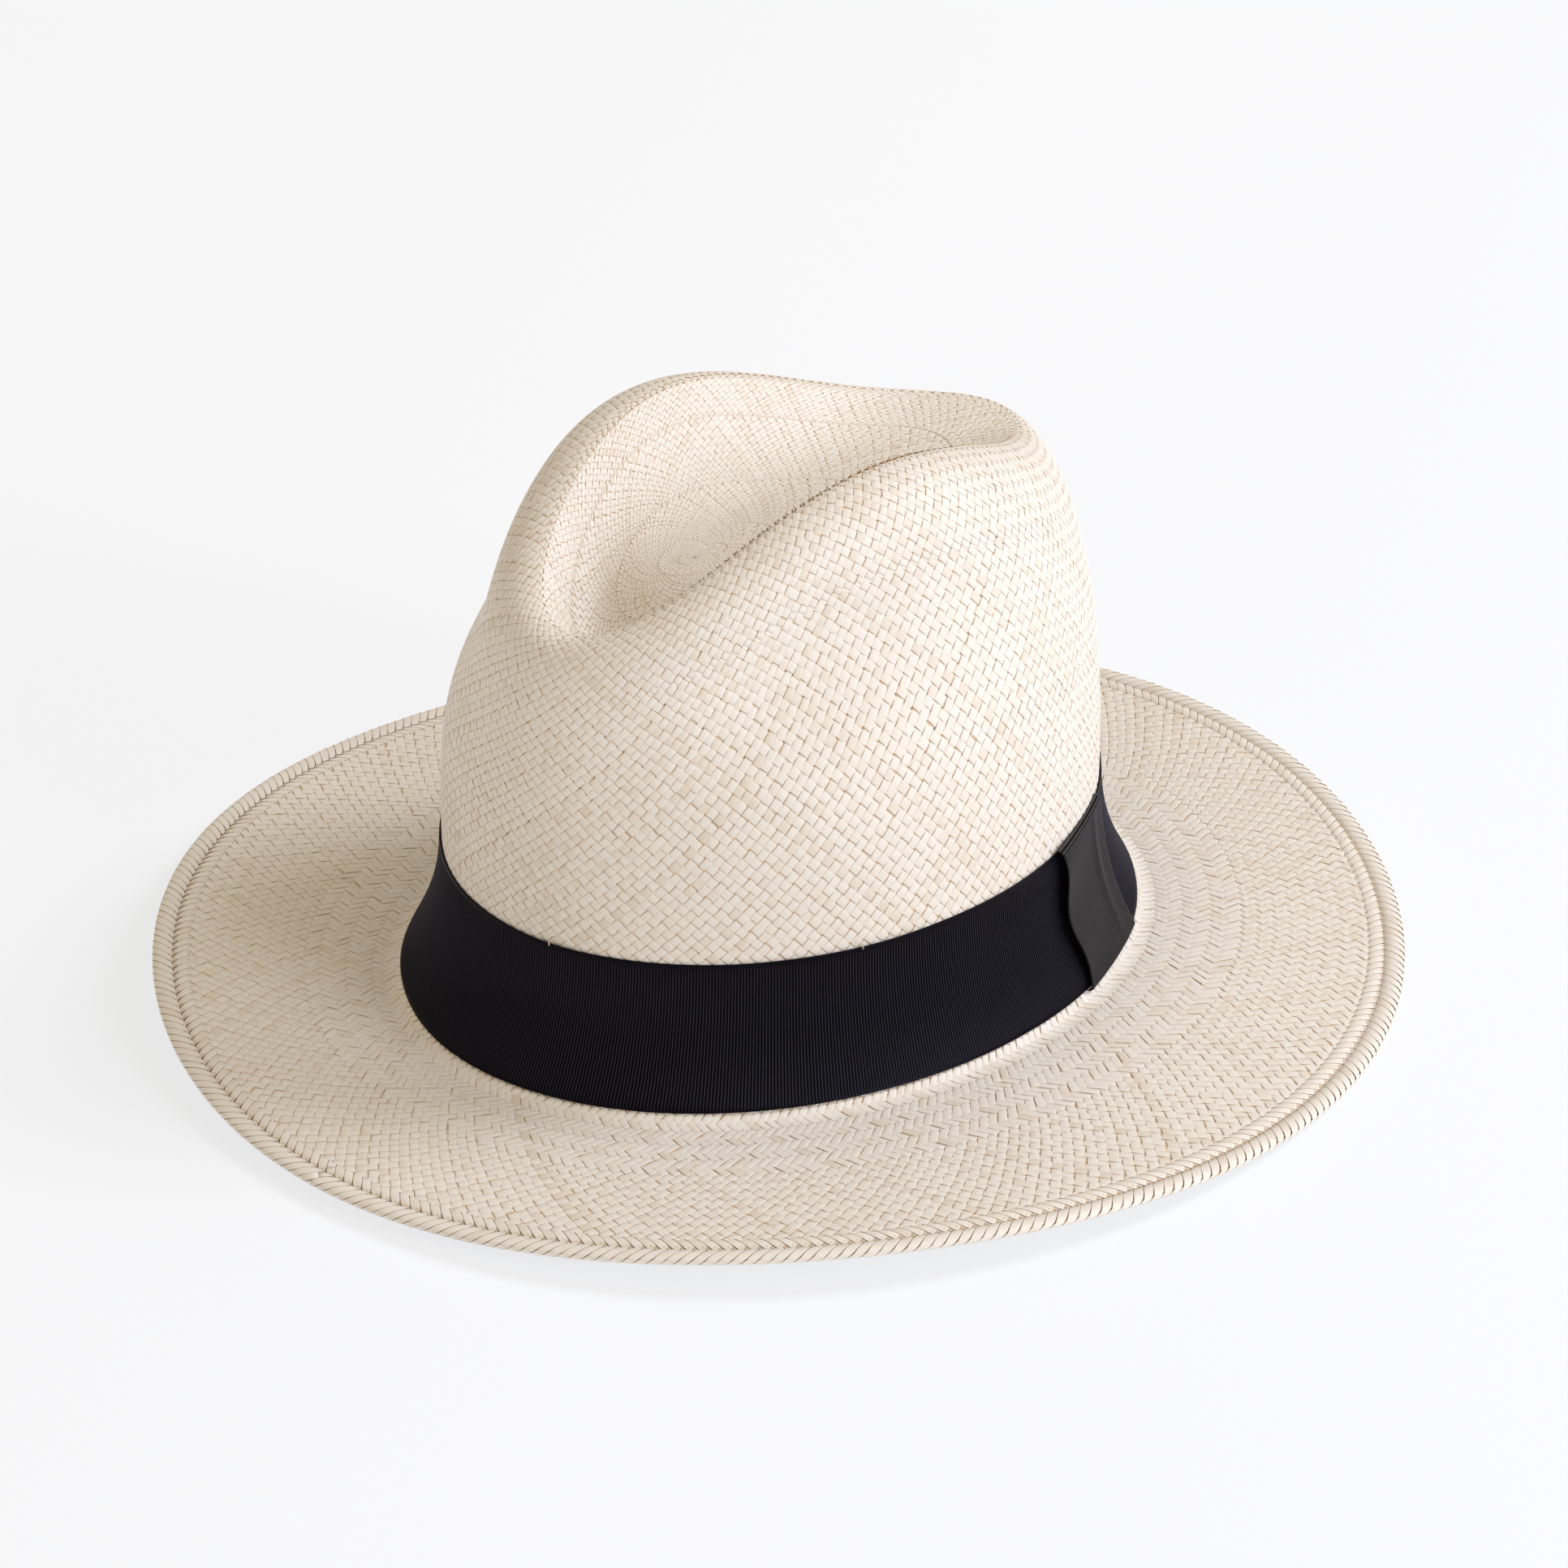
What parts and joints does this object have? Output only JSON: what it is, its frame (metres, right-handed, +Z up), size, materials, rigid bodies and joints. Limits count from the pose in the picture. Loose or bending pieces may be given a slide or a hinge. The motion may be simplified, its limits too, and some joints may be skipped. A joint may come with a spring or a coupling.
{
  "type": "panama hat",
  "caption": "Woven straw hat with a centre dent and front pinch, a wide brim with a braided border, a dark grosgrain ribbon with a seam tab, and an inner sweatband.",
  "frame": {"origin": "the middle of the head opening, level with the line where the crown turns into the brim", "axes": "+X is the wearer's left, where the seam tab is; the front of the hat faces -Y; +Z is up out of the crown"},
  "size_m": [0.326, 0.3413, 0.1481],
  "materials": {
    "straw": "plaited toquilla straw, cream with tan strands, satin",
    "navy_grosgrain": "ribbed grosgrain ribbon, navy black, low sheen",
    "black_grosgrain": "ribbed grosgrain ribbon, neutral black",
    "straw_thread": "twisted sewing thread, straw coloured",
    "sweatband_leather": "thin tan leather, matte",
    "reed": "leather-covered reed"
  },
  "bodies": {
    "root": {"straw_body": "straw", "ribbon": "navy_grosgrain", "seam_tab": "black_grosgrain", "ribbon_tacks": "straw_thread", "sweatband": "sweatband_leather", "sweatband_reed": "reed", "sweatband_stitches": "straw_thread", "sweatband_bow": "black_grosgrain"}
  },
  "joints": []
}
